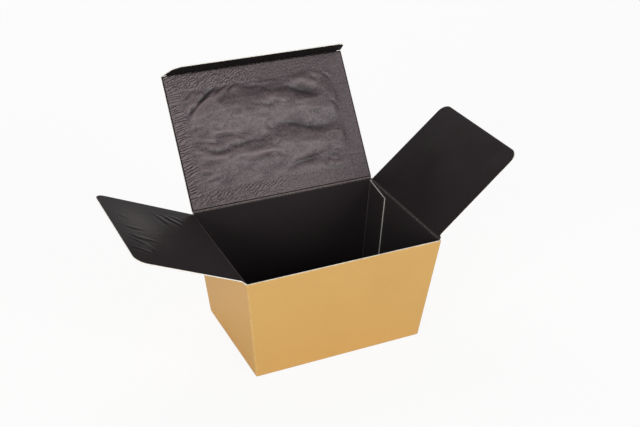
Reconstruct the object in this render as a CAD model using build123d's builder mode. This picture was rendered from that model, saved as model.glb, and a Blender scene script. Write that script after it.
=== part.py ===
from build123d import *
import os
from math import atan2, cos, pi, radians, sin

# Open carton for chocolates, of the tapered kind that stands on a narrow base: one folded sheet of board with
# a dust flap on each side and a lid at the back, and a crimped cushion pad glued inside the lid.
# Millimetres. +Z is up, the front wall faces -Y, and the origin is the middle of the base's underside.

# Carton, outside sizes: the top sizes are those at the height of the lid's crease
top_width = 110.0
top_depth = 79.4
base_width = 96.0
base_depth = 68.0
lid_crease_height = 61.9
side_crease_drop = 1.0  # the side creases lie this much lower, so that the lid closes over the dust flaps
front_edge_drop = 0.9  # the front wall's cut edge lies this much below the lid's crease
board = 0.5
fold_radius = 0.9  # outside of the four upright folds
base_fold_radius = 0.8  # outside of the folds round the base
crease_gap = 0.45  # from a crease's axis to the edge of the board on either side of it
crease_round = 0.24  # rounding of a panel's edge beside its crease

# Base of four flaps: two major ones that lap in the middle, and two minor ones folded over them
lap_half_width = 7.0
lap_step_run = 12.0  # half the length of the slanted step in the middle of the seam
seam_width = 0.3
seam_depth = 0.25
seam_bend_radius = 4.0
minor_flap_reach = 33.0
minor_flap_clearance = 0.6  # from the minor flap's ends to the front and back walls
minor_flap_corner_cut = 15.0
minor_flap_taper = 5.0

# Glue flap: it folds from the back wall and is stuck to the inside of the right wall
glue_flap_width = 18.4
glue_flap_top_drop = 0.5  # below the right wall's top, at the corner
glue_flap_top_slope = 2.8
glue_flap_bottom_rise = 3.0
glue_flap_bottom_slope = 4.0
side_seam_inset = 0.6  # from the end of the corner fold to the right wall's cut edge
side_seam_bottom = 1.6

# Lid and tuck flap
lid_length = 76.4  # from the lid's crease to the tuck's crease
lid_side_clearance = 0.3  # from the lid's side edges to the carton's outside
tuck_length = 16.0
tuck_root_inset = 3.0  # from the lid's side edges, to clear the shoulders of the closed dust flaps
tuck_notch_depth = 2.3  # the root is notched as far as this, and the flaps' shoulders lock into the notches
tuck_notch_run = 0.6  # the notch's slanted side
tuck_shoulder_inset = 1.3
tuck_end_inset = 4.2
tuck_corner_radius = 5.0

# Dust flaps
left_flap_length = 58.0
right_flap_length = 60.9  # the right flap closes first, under the left one
flap_corner_radius = 6.0
flap_root_clearance = 0.4  # from the ends of the flap's root to the corner folds
flap_back_taper = 0.5  # the back edge runs in by this much from the root to the free edge
flap_shoulder_start = 0.9
flap_shoulder_end = 2.6
flap_shoulder_step = 2.0  # the front edge steps in past the shoulder, to clear the tuck
flap_front_taper = 0.3

# Cushion pad
pad_side_margin = 0.8  # from the lid's side edges
pad_crease_margin = 0.9  # from the lid's crease and from the tuck's crease
pad_corner_radius = 1.5
pad_sheet = 0.25
pad_border = 8.4  # width of the flat crimped border
pad_rise = 1.6  # height of the pillow over the border sheet
pillow_slope = 14.0  # the pillow swells up over this width along its edge
pad_wave = 0.45  # height of the long bulges across the pillow
pad_wave_pitch = 21.0
pad_wave_slant = 0.25  # how much lower the bulges lie towards the right
pad_wave_start = 4.5
cross_wave = 0.2  # height of the shorter bulges that cross them
cross_wave_pitch = 34.0
cross_wave_slant = 0.4
pillow_sections = 19
pillow_section_points = 23
pucker_pitch = 2.5
pucker_width = 1.7
pucker_height = 0.5  # over the border sheet, at the pucker's inner end
pucker_tip = 0.2  # size of the pucker's outer end, as a share of its inner end
pucker_margin = 1.2  # from the pad's edge to the pucker's tip
pucker_drift = 0.5  # how far a pucker strays from its even place
pucker_turn = 2.4  # the stray follows a sine that turns by this angle from one pucker to the next
pucker_overlap = 1.5  # the pucker runs this far under the pillow
pucker_end_margin = 5.0  # from the first and last puckers to the ends of the pad

# How far each panel is open: the angle that it makes with the horizontal, away from the carton's middle
lid_open_angle = 54.8
left_flap_open_angle = 24.3
right_flap_open_angle = 41.0
tuck_fold_angle = 90.0  # turned out of the lid's plane

# Worked-out places
side_crease_height = lid_crease_height - side_crease_drop
side_wall_top = side_crease_height - crease_gap
back_wall_top = lid_crease_height - crease_gap
front_wall_top = lid_crease_height - front_edge_drop


def half_width(z):
    """Half the carton's outside width at height z."""
    return (base_width + (top_width - base_width) * z / lid_crease_height) / 2


def half_depth(z):
    """Half the carton's outside depth at height z."""
    return (base_depth + (top_depth - base_depth) * z / lid_crease_height) / 2


def panel_from_x_crease(crease, angle):
    """Plane of a panel whose crease runs along X: y leads away from the crease, at an angle up from +Y."""
    turn = radians(angle)
    return Plane(origin=crease, x_dir=(1, 0, 0), z_dir=(0, -sin(turn), cos(turn)))


def panel_from_y_crease(crease, angle):
    """Plane of a panel whose crease runs along Y: y leads away from the crease, at an angle up from +X."""
    turn = radians(angle)
    return Plane(origin=crease, x_dir=(0, 1, 0), z_dir=(sin(turn), 0, -cos(turn)))


lid_axis = Vector(0, half_depth(lid_crease_height) - board / 2, lid_crease_height)
side_axis_x = half_width(side_crease_height) - board / 2
lid_plane = panel_from_x_crease(lid_axis, lid_open_angle)
tuck_axis = lid_plane.from_local_coords(Vector(0, lid_length, 0))
tuck_plane = panel_from_x_crease(tuck_axis, lid_open_angle + tuck_fold_angle)
left_flap_plane = panel_from_y_crease((-side_axis_x, 0, side_crease_height), 180 - left_flap_open_angle)
right_flap_plane = panel_from_y_crease((side_axis_x, 0, side_crease_height), right_flap_open_angle)

# Right wall: x of its plane leads from the back towards the front, y up the wall, and z into the carton
wall_lean = atan2(half_width(lid_crease_height) - half_width(0), lid_crease_height)
right_wall_plane = Plane(
    origin=(half_width(0), 0, 0),
    x_dir=(0, -1, 0),
    z_dir=(-cos(wall_lean), 0, sin(wall_lean)),
)


def on_right_wall(inset, z):
    """Point of the right wall at height z, as far from the carton's back face as the inset says."""
    return (inset - half_depth(z), z / cos(wall_lean))


# Carton body: walls, base and glue flap, folded from one sheet and glued
with BuildPart() as carton_body:
    with BuildSketch():
        RectangleRounded(base_width, base_depth, fold_radius)
    with BuildSketch(Plane.XY.offset(lid_crease_height)):
        RectangleRounded(top_width, top_depth, fold_radius)
    loft(ruled=True)
    fillet(carton_body.faces().sort_by(Axis.Z)[0].edges(), base_fold_radius)

    # Inside of the box, one board thickness in from the outside all round
    for floor_or_rim in (board, lid_crease_height):
        with BuildSketch(Plane.XY.offset(floor_or_rim)):
            RectangleRounded(
                2 * (half_width(floor_or_rim) - board),
                2 * (half_depth(floor_or_rim) - board),
                fold_radius - board,
            )
    loft(ruled=True, mode=Mode.SUBTRACT)

    # Wall tops: the side walls end at their creases between the corner folds, the front wall at its cut edge
    crease_half_length = half_depth(side_crease_height) - fold_radius
    above = (Align.CENTER, Align.CENTER, Align.MIN)
    with Locations((0, 0, side_wall_top)):
        Box(2 * top_width, 2 * crease_half_length, lid_crease_height, align=above, mode=Mode.SUBTRACT)
    with Locations((0, -top_depth / 2, front_wall_top)):
        Box(2 * top_width, top_depth, lid_crease_height, align=above, mode=Mode.SUBTRACT)
    with Locations((0, top_depth / 2, back_wall_top)):
        Box(2 * top_width, top_depth, lid_crease_height, align=above, mode=Mode.SUBTRACT)

    # Minor base flaps, each with one corner cut at 45 degrees, and the lap of the major flaps between them
    floor_half_width = half_width(board) - board / 2
    floor_half_depth = half_depth(board) - board - minor_flap_clearance
    minor_flap_end = floor_half_width - minor_flap_reach
    with BuildSketch(Plane.XY.offset(board)):
        with PolarLocations(0, 2):
            Polygon(
                (floor_half_width, -floor_half_depth),
                (floor_half_width, floor_half_depth),
                (minor_flap_end + minor_flap_corner_cut, floor_half_depth),
                (minor_flap_end, floor_half_depth - minor_flap_corner_cut),
                (minor_flap_end, minor_flap_taper - floor_half_depth),
                align=None,
            )
        Rectangle(2 * (minor_flap_end - minor_flap_clearance), 2 * lap_half_width)
    extrude(amount=board)

    # Seam of the major base flaps on the underside, which steps across the middle where they interlock
    seam_end = base_width / 2 - base_fold_radius
    with BuildSketch():
        with BuildLine() as seam:
            FilletPolyline(
                (-seam_end, lap_half_width),
                (-lap_step_run, lap_half_width),
                (lap_step_run, -lap_half_width),
                (seam_end, -lap_half_width),
                radius=seam_bend_radius,
            )
        trace(seam.line, line_width=seam_width)
    extrude(amount=seam_depth, mode=Mode.SUBTRACT)

    # Glue flap on the inside of the right wall, with its ends cut on the slant
    glue_flap_top = side_wall_top - glue_flap_top_drop
    with BuildSketch(right_wall_plane.offset(board / 2)):
        Polygon(
            on_right_wall(board / 2, board + glue_flap_bottom_rise),
            on_right_wall(board + glue_flap_width, board + glue_flap_bottom_rise + glue_flap_bottom_slope),
            on_right_wall(board + glue_flap_width, glue_flap_top - glue_flap_top_slope),
            on_right_wall(board / 2, glue_flap_top),
            align=None,
        )
    extrude(amount=board / 2 + board)

    # Cut edge of the right wall, seen as a fine upright seam beside the back fold
    side_seam = fold_radius + side_seam_inset
    with BuildSketch(right_wall_plane):
        Polygon(
            on_right_wall(side_seam, side_seam_bottom),
            on_right_wall(side_seam + seam_width, side_seam_bottom),
            on_right_wall(side_seam + seam_width, lid_crease_height),
            on_right_wall(side_seam, lid_crease_height),
            align=None,
        )
    extrude(amount=seam_depth, both=True, mode=Mode.SUBTRACT)


# Lid panel
lid_width = top_width - 2 * lid_side_clearance
with BuildPart() as lid_panel:
    with BuildSketch(lid_plane):
        with Locations((0, lid_length / 2)):
            Rectangle(lid_width, lid_length - 2 * crease_gap)
    extrude(amount=board / 2, both=True)
    fillet(lid_panel.edges().filter_by(Axis.X), crease_round)


# Tuck flap at the lid's free end, notched at both ends of its root and drawn in to its rounded corners
with BuildPart() as tuck_flap:
    tuck_root = lid_width / 2 - tuck_root_inset
    tuck_shoulder = lid_width / 2 - tuck_shoulder_inset
    tuck_end = lid_width / 2 - tuck_end_inset
    notch_end = tuck_notch_depth + tuck_notch_run
    with BuildSketch(tuck_plane) as tuck_outline:
        Polygon(
            (-tuck_root, crease_gap),
            (tuck_root, crease_gap),
            (tuck_root, tuck_notch_depth),
            (tuck_shoulder, notch_end),
            (tuck_end, tuck_length),
            (-tuck_end, tuck_length),
            (-tuck_shoulder, notch_end),
            (-tuck_root, tuck_notch_depth),
            align=None,
        )
        fillet(tuck_outline.vertices().group_by(Axis.Y)[-1], tuck_corner_radius)
    extrude(amount=board / 2, both=True)
    tuck_root_edges = tuck_flap.edges().filter_by(Axis.X).sort_by_distance(tuck_axis)[:2]
    fillet(tuck_root_edges, crease_round)


def dust_flap(plane, length):
    """Dust flap on the plane of its crease: full width at the root, stepped in at the front past it."""
    root_end = crease_half_length - flap_root_clearance
    front = flap_shoulder_step - root_end
    with BuildPart() as flap:
        with BuildSketch(plane) as outline:
            with BuildLine():
                Line((-root_end, crease_gap), (root_end, crease_gap))
                Line((root_end, crease_gap), (root_end - flap_back_taper, length))
                Line((root_end - flap_back_taper, length), (front + flap_front_taper, length))
                Line((front + flap_front_taper, length), (front, flap_shoulder_end))
                TangentArc(
                    (-root_end, flap_shoulder_start), (front, flap_shoulder_end), tangent=(0, 1)
                )
                Line((-root_end, flap_shoulder_start), (-root_end, crease_gap))
            make_face()
            fillet(outline.vertices().group_by(Axis.Y)[-1], flap_corner_radius)
        extrude(amount=board / 2, both=True)
        fillet(flap.edges().filter_by(Axis.Y).sort_by_distance(plane.origin)[:2], crease_round)
    return flap


left_dust_flap = dust_flap(left_flap_plane, left_flap_length)
right_dust_flap = dust_flap(right_flap_plane, right_flap_length)


# Cushion pad on the lid's inner face: a flat crimped border round a soft pillow
pad_plane = lid_plane.offset(board / 2)
pad_half_width = lid_width / 2 - pad_side_margin
pad_start = pad_crease_margin
pad_end = lid_length - pad_crease_margin
pillow_half_width = pad_half_width - pad_border
pillow_start = pad_start + pad_border
pillow_length = pad_end - pad_border - pillow_start


def swell(distance):
    """How far the pillow has risen at a distance from its edge: from 0 to 1, level at the top."""
    return 1 - (1 - min(distance / pillow_slope, 1)) ** 2


def pillow_height(x, y):
    """Height of the pillow over the lid at a point of the pad: it swells from its edges, with waves."""
    from_side = pillow_half_width - abs(x)
    from_end = min(y - pillow_start, pillow_start + pillow_length - y)
    long_wave = sin(2 * pi * (y + pad_wave_slant * x - pad_wave_start) / pad_wave_pitch)
    short_wave = sin(2 * pi * (x - cross_wave_slant * y) / cross_wave_pitch)
    rise = pad_rise + pad_sheet / 2 + pad_wave * long_wave + cross_wave * short_wave
    return pad_sheet / 2 + swell(from_side) * swell(from_end) * rise


# One pucker of the border: a low ridge that rises from the pad's edge, at X = 0, towards the pillow
with BuildPart() as pucker:
    for inset, share in ((pucker_margin, pucker_tip), (pad_border + pucker_overlap, 1)):
        with BuildSketch(Plane.YZ.offset(inset)):
            Polygon(
                (-share * pucker_width / 2, -pad_sheet / 2),
                (share * pucker_width / 2, -pad_sheet / 2),
                (0, share * pucker_height),
                align=None,
            )
    loft(ruled=True)

pucker_span = pad_end - pad_start - 2 * pucker_end_margin
pucker_count = round(pucker_span / pucker_pitch)
pucker_places = []
for row in range(pucker_count + 1):
    stray = pucker_drift * sin(pucker_turn * row)
    along_edge = pad_start + pucker_end_margin + row * pucker_span / pucker_count
    pucker_places.append((stray - pad_half_width, along_edge + stray, pad_sheet))


with BuildPart() as cushion_pad:
    # Border sheet under the whole pad
    with BuildSketch(pad_plane) as pad_outline:
        with Locations((0, (pad_start + pad_end) / 2)):
            RectangleRounded(2 * pad_half_width, pad_end - pad_start, pad_corner_radius)
    extrude(amount=pad_sheet)

    # Pillow: sections across the pad, from the crease's end to the tuck's end
    for section in range(pillow_sections):
        y = pillow_start + pillow_length * section / (pillow_sections - 1)
        level = pad_plane.from_local_coords(Vector(0, y, 0))
        tops = []
        for place in range(pillow_section_points):
            x = pillow_half_width * (2 * place / (pillow_section_points - 1) - 1)
            tops.append((x, pillow_height(x, y)))
        with BuildSketch(Plane(origin=level, x_dir=(1, 0, 0), z_dir=-pad_plane.y_dir)):
            with BuildLine():
                Polyline(tops[0], (tops[0][0], 0), (tops[-1][0], 0), tops[-1])
                Spline(*tops)
            make_face()
    loft()

    # Puckers along the left border
    with Locations(pad_plane):
        with Locations(*pucker_places):
            add(pucker.part)


os.makedirs("parts", exist_ok=True)
for name, piece in (
    ("carton_body", carton_body),
    ("lid_panel", lid_panel),
    ("tuck_flap", tuck_flap),
    ("left_dust_flap", left_dust_flap),
    ("right_dust_flap", right_dust_flap),
    ("cushion_pad", cushion_pad),
):
    piece.part.label = name
    export_step(piece.part, "parts/" + name + ".step")
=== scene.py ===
import bpy
import numpy as np
from mathutils import Matrix


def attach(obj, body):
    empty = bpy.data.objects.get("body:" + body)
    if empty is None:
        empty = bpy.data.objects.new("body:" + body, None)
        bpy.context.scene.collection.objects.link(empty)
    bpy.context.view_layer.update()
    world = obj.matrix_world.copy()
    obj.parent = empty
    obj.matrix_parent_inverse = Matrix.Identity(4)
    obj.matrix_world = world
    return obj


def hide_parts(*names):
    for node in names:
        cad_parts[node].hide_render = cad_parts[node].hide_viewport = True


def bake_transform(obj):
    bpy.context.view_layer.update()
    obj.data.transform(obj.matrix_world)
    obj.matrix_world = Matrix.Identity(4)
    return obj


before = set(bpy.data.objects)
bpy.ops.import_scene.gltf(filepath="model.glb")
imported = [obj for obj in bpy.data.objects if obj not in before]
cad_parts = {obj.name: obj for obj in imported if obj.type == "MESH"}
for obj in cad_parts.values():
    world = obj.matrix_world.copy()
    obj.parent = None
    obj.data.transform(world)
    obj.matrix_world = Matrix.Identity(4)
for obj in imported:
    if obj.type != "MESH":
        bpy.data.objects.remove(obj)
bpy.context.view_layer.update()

# Carton, in millimetres as in the part: +Z up, the front wall faces -Y, the origin is the middle of the base
MM = 0.001
TOP_WIDTH, TOP_DEPTH = 110.0, 79.4
BASE_WIDTH, BASE_DEPTH = 96.0, 68.0
LID_CREASE_HEIGHT = 61.9
SIDE_CREASE_HEIGHT = 60.9
FRONT_WALL_TOP = 61.0
BOARD = 0.5
FOLD_RADIUS, LEAST_FOLD_RADIUS = 0.9, 0.05
BASE_FOLD_RADIUS, BASE_LIP = 0.8, 1.6
EDGE_ROUND, JOIN_ROUND = 0.06, 0.003
SEAM_START, SEAM_OVERLAP = 0.979, 0.6

# Creases
CREASE_GAP = 0.45
CREASE_BEAD, CREASE_GROOVE, CREASE_BEAD_WIDTH = 0.08, 0.10, 0.35
LID_ANGLE, TUCK_FOLD, LEFT_ANGLE, RIGHT_ANGLE = 54.8, 90.0, 24.3, 41.0

# Lid and tuck
LID_LENGTH, LID_HALF_WIDTH, LID_ROOT_INSET = 76.4, 54.7, 0.3
TUCK_LENGTH, TUCK_CORNER = 16.0, 5.0
TUCK_SLOT_START, TUCK_SLOT_END, TUCK_SLOT_IN, TUCK_SLOT_OUT = 0.5, 2.1, 0.1, 0.2
TUCK_ROOT_INSET, TUCK_SLOT_INSET, TUCK_SHOULDER_INSET, TUCK_END_INSET = 0.8, 3.0, 0.8, 4.2

# Dust flaps
LEFT_FLAP_LENGTH, RIGHT_FLAP_LENGTH = 58.0, 60.9
FLAP_CORNER, FLAP_ROOT_INSET = 6.0, 0.4
FLAP_BACK_TAPER, FLAP_FRONT_TAPER = 0.5, 0.3
SHOULDER_START, SHOULDER_END, SHOULDER_STEP = 0.9, 2.6, 2.0

# Base flaps and glue flap
BASE_LAP, BASE_LAP_RUN, BASE_LAP_EASE, BASE_SEAM = 7.0, 12.0, 1.0, 0.03
MINOR_FLAP_REACH, MINOR_FLAP_CUT, MINOR_FLAP_TAPER, MINOR_FLAP_GAP = 33.0, 15.0, 5.0, 0.6
GLUE_FLAP_WIDTH, GLUE_FLAP_DROP, GLUE_FLAP_TOP_SLANT = 18.4, 0.5, 2.8
GLUE_FLAP_FOOT, GLUE_FLAP_FOOT_SLANT, GLUE_FLAP_LIFT = 3.0, 4.0, 0.98

# Wear of the gold and rub of the black, each a share from 0 to 1 and the width of its line
EDGE_WEAR, CREASE_WEAR, WEAR_WIDTH = 0.55, 0.8, 0.5
FLAP_EDGE_WEAR, BASE_RUB_SHARE, GLUE_RUB_SHARE = 0.5, 0.6, 0.9
FOLD_WEAR, BASE_FOLD_WEAR, WALL_TOP_WEAR, WALL_TOP_WIDTH = 0.22, 0.2, 0.9, 0.45
EDGE_RUB, EDGE_RUB_WIDTH, CREASE_RUB_WIDTH = 0.25, 0.3, 0.32
FOLD_RUB, WALL_TOP_RUB, WALL_TOP_RUB_WIDTH = 0.55, 0.3, 0.4
GLUE_FOLD_RUB, GLUE_FOLD_RUB_WIDTH = 0.4, 0.6
LID_RUB, TUCK_RUB, LEFT_FLAP_RUB, RIGHT_FLAP_RUB = 0.9, 0.15, 0.6, 0.3

ALONG_X = np.array([1.0, 0.0, 0.0])
ALONG_Y = np.array([0.0, 1.0, 0.0])


def half_width(z):
    """Half the carton's outside width at height z: straight from the base to the lid's crease."""
    return (BASE_WIDTH + (TOP_WIDTH - BASE_WIDTH) * z / LID_CREASE_HEIGHT) / 2


def half_depth(z):
    """Half the carton's outside depth at height z: straight from the base to the lid's crease."""
    return (BASE_DEPTH + (TOP_DEPTH - BASE_DEPTH) * z / LID_CREASE_HEIGHT) / 2


def ease(low, high, value):
    """Smooth step: 0 below low, 1 above high, and three times the square less twice the cube between."""
    t = np.clip((value - low) / (high - low), 0, 1)
    return t * t * (3 - 2 * t)


def bell(value):
    """Bell curve: 1 in the middle and about a third at one."""
    return np.exp(-(value**2))


def swell(distance, slope):
    """Rise from 0 at an edge to 1 at the end of the slope: one less the square of what is left of it."""
    return 1 - (1 - np.clip(distance / slope, 0, 1)) ** 2


def gathered(count):
    """Steps from 0 to 1 that lie closer together at both ends: half of one minus the cosine."""
    return 0.5 - 0.5 * np.cos(np.pi * np.linspace(0, 1, count))


def unit(v):
    """Vectors of length one."""
    return v / np.linalg.norm(v, axis=-1, keepdims=True)


def direction_yz(angle):
    """Direction at an angle up from +Y."""
    return np.array([0.0, np.cos(np.radians(angle)), np.sin(np.radians(angle))])


def direction_xz(angle):
    """Direction at an angle up from +X."""
    return np.array([np.cos(np.radians(angle)), 0.0, np.sin(np.radians(angle))])


# Finishes


def wire(tree, kind, settings=None, **inputs):
    """A shader node with its settings. Each input, by name or as i and a number, gets a value or a link."""
    node = tree.nodes.new(kind)
    for key, value in (settings or {}).items():
        setattr(node, key, value)
    for key, value in inputs.items():
        numbered = key[0] == "i" and key[1:].isdigit()
        socket = node.inputs[int(key[1:]) if numbered else key.replace("_", " ")]
        if isinstance(value, bpy.types.NodeSocket):
            tree.links.new(value, socket)
        else:
            socket.default_value = value
    return node


def grain(tree, place, scale, detail=2.0, rough=0.5):
    """Soft three-dimensional noise; scale is in repeats per metre."""
    noise = wire(tree, "ShaderNodeTexNoise", Vector=place, Scale=scale, Detail=detail, Roughness=rough)
    return noise.outputs["Fac"]


def between(tree, value, low, high, to_low=0.0, to_high=1.0):
    """The value moved from one range to another, held at both ends."""
    moved = wire(tree, "ShaderNodeMapRange", {"clamp": True}, Value=value, From_Min=low, From_Max=high,
                 To_Min=to_low, To_Max=to_high)
    return moved.outputs["Result"]


def product(tree, a, b):
    """Two values multiplied."""
    return wire(tree, "ShaderNodeMath", {"operation": "MULTIPLY"}, i0=a, i1=b).outputs[0]


def blend_colour(tree, share, a, b):
    """Colour a at share 0, colour b at share 1."""
    return wire(tree, "ShaderNodeMix", {"data_type": "RGBA"}, i0=share, i6=a, i7=b).outputs[2]


def relief(tree, height, strength, depth, under=None):
    """Bump from a height value, on top of another where one is given; depth is in metres."""
    inputs = {"Height": height, "Strength": strength, "Distance": depth}
    if under is not None:
        inputs["Normal"] = under
    return wire(tree, "ShaderNodeBump", **inputs).outputs["Normal"]


def own_value(tree, name):
    """The piece's own attribute of that name."""
    return wire(tree, "ShaderNodeAttribute", {"attribute_name": name}).outputs["Fac"]


def new_finish(name):
    """An empty material with its tree, its shader and the Object coordinates."""
    material = bpy.data.materials.new(name)
    material.use_nodes = True
    tree = material.node_tree
    shader = tree.nodes["Principled BSDF"]
    place = tree.nodes.new("ShaderNodeTexCoord").outputs["Object"]
    return material, tree, shader, place


def gold_paper():
    """Satin gold print on board: warm ochre, faint mottling and fine grain, paler along folds and edges."""
    material, tree, shader, place = new_finish("gold_paper")
    cloud = between(tree, grain(tree, place, scale=38, detail=3), 0.32, 0.68)
    fleck = between(tree, grain(tree, place, scale=2600), 0.3, 0.7)
    body = blend_colour(tree, cloud, (0.660, 0.392, 0.118, 1), (0.690, 0.414, 0.130, 1))
    speck = blend_colour(tree, fleck, (0.62, 0.36, 0.105, 1), (0.72, 0.44, 0.145, 1))
    body = blend_colour(tree, 0.35, body, speck)
    patches = between(tree, grain(tree, place, scale=420, detail=3), 0.38, 0.66)
    rub = product(tree, own_value(tree, "wear"), patches)
    body = blend_colour(tree, rub, body, (0.84, 0.68, 0.42, 1))
    tree.links.new(body, shader.inputs["Base Color"])
    tree.links.new(between(tree, cloud, 0, 1, 0.40, 0.48), shader.inputs["Roughness"])
    shader.inputs["Metallic"].default_value = 0.3
    shader.inputs["Specular IOR Level"].default_value = 0.45
    wavy = relief(tree, grain(tree, place, scale=55), strength=0.25, depth=0.0004)
    fine = relief(tree, fleck, strength=0.12, depth=0.00002, under=wavy)
    tree.links.new(fine, shader.inputs["Normal"])
    return material


def black_paper(name, tone, smooth, rough, shine):
    """Black board inside: a trace of fibre grain, grey where a crease has rubbed it, and grey patches of
    painted sheen where they are given.
    """
    material, tree, shader, place = new_finish(name)
    fibre = between(tree, grain(tree, place, scale=1900, detail=3), 0.3, 0.7)
    cloud = between(tree, grain(tree, place, scale=70, detail=3), 0.3, 0.7)
    deep = np.array([0.0215, 0.0177, 0.0186]) * tone
    pale = np.array([0.0282, 0.0234, 0.0243]) * tone
    body = blend_colour(tree, fibre, (*deep, 1), (*pale, 1))
    patches = between(tree, grain(tree, place, scale=700, detail=3), 0.25, 0.6, 0.55, 1.0)
    rub = product(tree, own_value(tree, "crease"), patches)
    body = blend_colour(tree, rub, body, (0.265, 0.222, 0.214, 1))
    tree.links.new(body, shader.inputs["Base Color"])
    tree.links.new(between(tree, cloud, 0, 1, smooth, rough), shader.inputs["Roughness"])
    shader.inputs["Specular IOR Level"].default_value = shine
    shader.inputs["Specular Tint"].default_value = (1.0, 0.82, 0.84, 1)
    wavy = relief(tree, grain(tree, place, scale=60), strength=0.2, depth=0.0004)
    fine = relief(tree, fibre, strength=0.1, depth=0.00002, under=wavy)
    tree.links.new(fine, shader.inputs["Normal"])
    return material


def cut_board():
    """Bare cut edge of the board: near-white pulp with darker fibres."""
    material, tree, shader, place = new_finish("cut_board")
    fibre = between(tree, grain(tree, place, scale=1500, detail=4, rough=0.6), 0.3, 0.7)
    body = blend_colour(tree, fibre, (0.84, 0.80, 0.72, 1), (0.95, 0.93, 0.88, 1))
    tree.links.new(body, shader.inputs["Base Color"])
    shader.inputs["Roughness"].default_value = 0.85
    tree.links.new(relief(tree, fibre, strength=0.4, depth=0.00004), shader.inputs["Normal"])
    return material


def crimped_paper():
    """Charcoal pad paper: a fine embossed fleck all over, small crimped cells on the border, a painted
    highlight, warmer and lighter, where the folds stand up and painted shade in their hollows, and a soft
    sheen."""
    material, tree, shader, place = new_finish("crimped_paper")
    cloud = between(tree, grain(tree, place, scale=45, detail=3), 0.3, 0.7)
    fleck = between(tree, grain(tree, place, scale=1150, rough=0.6), 0.32, 0.68)
    painted_light_and_shade = own_value(tree, "painted_light_and_shade")
    body = blend_colour(tree, cloud, (0.064, 0.045, 0.051, 1), (0.086, 0.061, 0.067, 1))
    speck = blend_colour(tree, fleck, (0.026, 0.018, 0.022, 1), (0.164, 0.122, 0.131, 1))
    body = blend_colour(tree, 0.72, body, speck)
    # Painted highlight where the painted light and shade value is over a half, painted shade where it is
    # under
    body = blend_colour(tree, between(tree, painted_light_and_shade, 0.5, 1, 0, 0.6), body, (0.240, 0.184, 0.186, 1))
    body = blend_colour(tree, between(tree, painted_light_and_shade, 0.5, 0), body, (0.016, 0.012, 0.014, 1))
    tree.links.new(body, shader.inputs["Base Color"])
    tree.links.new(between(tree, fleck, 0, 1, 0.62, 0.5), shader.inputs["Roughness"])
    shader.inputs["Specular IOR Level"].default_value = 0.3
    shader.inputs["Coat Weight"].default_value = 0.85
    shader.inputs["Coat Roughness"].default_value = 0.48
    cells = wire(tree, "ShaderNodeTexVoronoi", {"feature": "F1"}, Vector=place, Scale=820.0)
    border_cells = product(tree, cells.outputs["Distance"], own_value(tree, "border"))
    crimped = relief(tree, border_cells, strength=0.5, depth=0.0003)
    fine = relief(tree, fleck, strength=0.5, depth=0.00016, under=crimped)
    tree.links.new(fine, shader.inputs["Normal"])
    return material


GOLD = gold_paper()
CUT = cut_board()
PAD = crimped_paper()
BLACK = black_paper("black_paper", tone=0.8, smooth=0.2, rough=0.27, shine=0.12)
# Painted light: the carton's inside copy of the black board is painted lighter than the flaps' copy
PAINTED_LIGHTER_INSIDE_BLACK = black_paper("inside_black_paper_painted_lighter", tone=1.28, smooth=0.3, rough=0.4, shine=0.12)
# Painted shade: the tuck's copy of the black board is painted darker, and it is also rougher
DULL_PAINTED_DARKER_BLACK = black_paper("dull_black_paper_painted_darker", tone=0.5, smooth=0.6, rough=0.7, shine=0.05)


# Meshes


def put_in_scene(name, points, faces, finishes, finish_of_face, values):
    """A mesh object at the origin from points in millimetres, with a finish for each face and values for
    each point."""
    mesh = bpy.data.meshes.new(name)
    mesh.from_pydata((points * MM).tolist(), [], faces)
    for finish in finishes:
        mesh.materials.append(finish)
    mesh.polygons.foreach_set("material_index", np.asarray(finish_of_face, np.int32))
    mesh.polygons.foreach_set("use_smooth", np.ones(len(mesh.polygons), bool))
    mesh.set_sharp_from_angle(angle=np.radians(35))
    for key, value in values.items():
        mesh.attributes.new(key, "FLOAT", "POINT").data.foreach_set("value", np.asarray(value, np.float32))
    mesh.update()
    piece = bpy.data.objects.new(name, mesh)
    bpy.context.scene.collection.objects.link(piece)
    return piece


def edge_loop(rows, cols):
    """Point numbers round a grid's edge, along the first row and back along the last."""
    index = np.arange(rows * cols).reshape(rows, cols)
    return np.concatenate([index[0, :-1], index[:-1, -1], index[-1, :0:-1], index[:0:-1, 0]])


def grid_faces(rows, cols):
    """Four-sided faces of a grid of points, row by row."""
    index = np.arange(rows * cols).reshape(rows, cols)
    return np.stack([index[:-1, :-1], index[:-1, 1:], index[1:, 1:], index[1:, :-1]], -1).reshape(-1, 4)


def loop_faces(upper, lower):
    """Four-sided faces between two loops of points."""
    return np.stack([upper, lower, np.roll(lower, -1), np.roll(upper, -1)], -1)


# Board


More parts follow.
